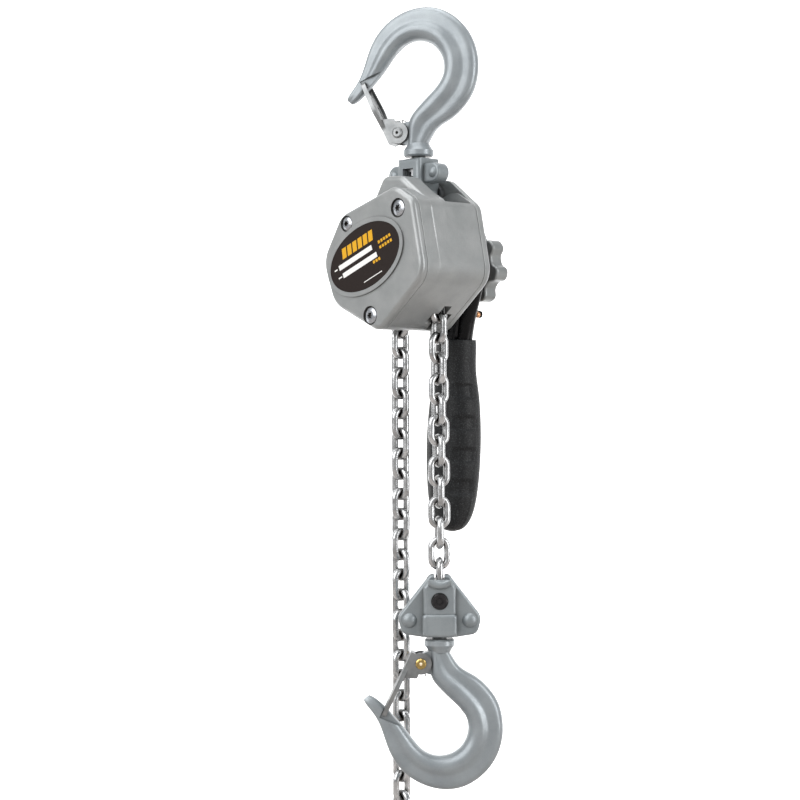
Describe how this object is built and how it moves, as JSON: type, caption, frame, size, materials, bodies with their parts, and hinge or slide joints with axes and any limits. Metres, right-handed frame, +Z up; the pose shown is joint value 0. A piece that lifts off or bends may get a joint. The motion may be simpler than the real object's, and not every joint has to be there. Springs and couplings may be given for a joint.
{
  "type": "lever chain hoist",
  "caption": "Hand lever chain hoist with swivelling top and bottom hooks, geared chain drive, load brake, ratchet lever with rubber grip and a star knob.",
  "frame": {"origin": "centre of the top hook's bowl", "axes": "+Z up, +Y along the drive shaft towards the knob, +X towards the load strand"},
  "size_m": [0.084, 0.0975, 0.4996],
  "materials": {
    "hook_paint": "glossy silver-grey paint on forged steel",
    "yoke_paint": "glossy silver-grey paint",
    "zinc": "bright zinc plate",
    "brass_rivet": "yellow zinc rivet",
    "case_paint": "silver paint on cast aluminium",
    "label": "dark printed plate",
    "screw_steel": "plated steel",
    "plate_steel": "plain steel",
    "gear_steel": "hardened steel, oiled",
    "friction": "friction lining",
    "black_steel": "black enamel",
    "grip_rubber": "black moulded rubber, fine speckle",
    "copper": "copper-coloured plating",
    "knob_paint": "silver paint on cast metal",
    "chain_zinc": "bright zinc plated chain"
  },
  "bodies": {
    "top_hook": {"top_hook": "hook_paint", "top_hook_nut": "plate_steel", "top_hook_washer": "plate_steel", "top_latch_rivet": "zinc", "top_latch_spring": "black_steel"},
    "top_latch": {"top_latch": "zinc"},
    "top_yoke": {"top_yoke_front": "yoke_paint", "top_yoke_back": "yoke_paint", "top_yoke_rivets": "yoke_paint", "suspension_pin": "plate_steel"},
    "housing": {"gear_cover": "case_paint", "rating_plate": "label", "cover_screws": "screw_steel", "main_casing": "case_paint", "brake_cover": "case_paint", "front_frame_plate": "plate_steel", "rear_frame_plate": "plate_steel", "frame_spacers": "plate_steel", "chain_guide": "plate_steel", "chain_stripper": "plate_steel", "sheave_bearings": "gear_steel", "sheave_chain": "chain_zinc", "pawl_posts": "plate_steel", "ratchet_disc": "gear_steel", "friction_discs": "friction"},
    "ratchet_pawl_a": {"ratchet_pawl_a": "gear_steel"},
    "ratchet_pawl_b": {"ratchet_pawl_b": "gear_steel"},
    "load_sheave": {"load_sheave": "gear_steel", "load_gear": "gear_steel"},
    "intermediate_gear_a": {"intermediate_gear_a": "gear_steel"},
    "intermediate_gear_b": {"intermediate_gear_b": "gear_steel"},
    "drive_shaft": {"drive_shaft": "gear_steel", "brake_hub": "gear_steel", "change_gear": "gear_steel", "knob_nut": "screw_steel"},
    "free_wheel_knob": {"free_wheel_knob": "knob_paint"},
    "lever": {"lever_inner_shell": "black_steel", "lever_outer_shell": "black_steel", "lever_tang": "plate_steel", "lever_grip": "grip_rubber", "lever_screws": "screw_steel"},
    "selector": {"selector_shaft": "gear_steel", "selector_lever": "black_steel", "selector_ball": "copper", "change_pawl": "gear_steel"},
    "load_chain": {"load_chain": "chain_zinc", "bottom_yoke_front": "yoke_paint", "bottom_yoke_back": "yoke_paint", "bottom_yoke_rivets": "yoke_paint", "chain_pin": "black_steel", "chain_pin_nut": "screw_steel"},
    "slack_chain": {"slack_chain": "chain_zinc", "chain_end_ring": "chain_zinc"},
    "bottom_hook": {"bottom_hook": "hook_paint", "bottom_hook_nut": "plate_steel", "bottom_hook_washer": "plate_steel", "bottom_latch_rivet": "brass_rivet", "bottom_latch_spring": "black_steel"},
    "bottom_latch": {"bottom_latch": "zinc"}
  },
  "joints": [
    {"name": "top_hook_swivel", "type": "hinge", "parent": "top_hook", "child": "top_yoke", "pos_m": [0, 0, -0.0534], "axis": [0, 0, 1], "continuous": true},
    {"name": "yoke_pin_hinge", "type": "hinge", "parent": "top_yoke", "child": "housing", "pos_m": [0, 0, -0.0744], "axis": [0, 1, 0], "range_deg": [-20, 20]},
    {"name": "top_latch_hinge", "type": "hinge", "parent": "top_hook", "child": "top_latch", "pos_m": [-0.00989, -0.00482, -0.0378], "axis": [-0.4384, 0.8988, 0], "range_deg": [0, 50], "stiffness_Nm_per_rad": 0.02, "springref_deg": -28.65},
    {"name": "chain_lift", "type": "slide", "parent": "housing", "child": "load_chain", "axis": [0, 0, 1], "range_m": [-0.012, 0.024], "deforming": ["sheave_chain", "load_chain", "slack_chain"]},
    {"name": "slack_run", "type": "slide", "parent": "housing", "child": "slack_chain", "axis": [0, 0, 1], "range_m": [-0.025, 0.013]},
    {"name": "sheave_spin", "type": "hinge", "parent": "housing", "child": "load_sheave", "pos_m": [0, 0, -0.1154], "axis": [0, 1, 0], "range_deg": [-88, 45]},
    {"name": "gear_a_spin", "type": "hinge", "parent": "housing", "child": "intermediate_gear_a", "pos_m": [0.01455, 0, -0.107], "axis": [0, 1, 0], "range_deg": [-161, 320]},
    {"name": "gear_b_spin", "type": "hinge", "parent": "housing", "child": "intermediate_gear_b", "pos_m": [-0.01455, 0, -0.1238], "axis": [0, 1, 0], "range_deg": [-161, 320]},
    {"name": "shaft_spin", "type": "hinge", "parent": "housing", "child": "drive_shaft", "pos_m": [0, 0, -0.1154], "axis": [0, 1, 0], "range_deg": [-1168, 585]},
    {"name": "knob_pull", "type": "slide", "parent": "drive_shaft", "child": "free_wheel_knob", "axis": [0, 1, 0], "range_m": [0, 0.003], "stiffness_N_per_m": 300, "springref_m": -0.002},
    {"name": "lever_swing", "type": "hinge", "parent": "housing", "child": "lever", "pos_m": [0, 0, -0.1154], "axis": [0, 1, 0], "continuous": true},
    {"name": "selector_turn", "type": "hinge", "parent": "lever", "child": "selector", "pos_m": [-0.00102, 0, -0.14188], "axis": [0, 1, 0], "range_deg": [-14, 14]},
    {"name": "pawl_a_hinge", "type": "hinge", "parent": "housing", "child": "ratchet_pawl_a", "pos_m": [0.012, 0, -0.0946], "axis": [0, 1, 0], "range_deg": [0, 15], "stiffness_Nm_per_rad": 0.004, "springref_deg": -22.92},
    {"name": "pawl_b_hinge", "type": "hinge", "parent": "housing", "child": "ratchet_pawl_b", "pos_m": [-0.012, 0, -0.1362], "axis": [0, 1, 0], "range_deg": [0, 15], "stiffness_Nm_per_rad": 0.004, "springref_deg": -22.92},
    {"name": "bottom_hook_swivel", "type": "hinge", "parent": "load_chain", "child": "bottom_hook", "pos_m": [0.01585, 0, -0.3338], "axis": [0, 0, 1], "continuous": true},
    {"name": "bottom_latch_hinge", "type": "hinge", "parent": "bottom_hook", "child": "bottom_latch", "pos_m": [0.00807, -0.00778, -0.3491], "axis": [-0.7071, 0.7071, 0], "range_deg": [-50, 0], "stiffness_Nm_per_rad": 0.02, "springref_deg": 28.65}
  ],
  "couplings": [
    {"joint": "slack_run", "follows": "chain_lift", "ratio": -1},
    {"joint": "sheave_spin", "follows": "chain_lift", "rad_per_m": -63.091},
    {"joint": "gear_a_spin", "follows": "chain_lift", "rad_per_m": 231.34},
    {"joint": "gear_b_spin", "follows": "chain_lift", "rad_per_m": 231.34},
    {"joint": "shaft_spin", "follows": "chain_lift", "rad_per_m": -848.23}
  ]
}
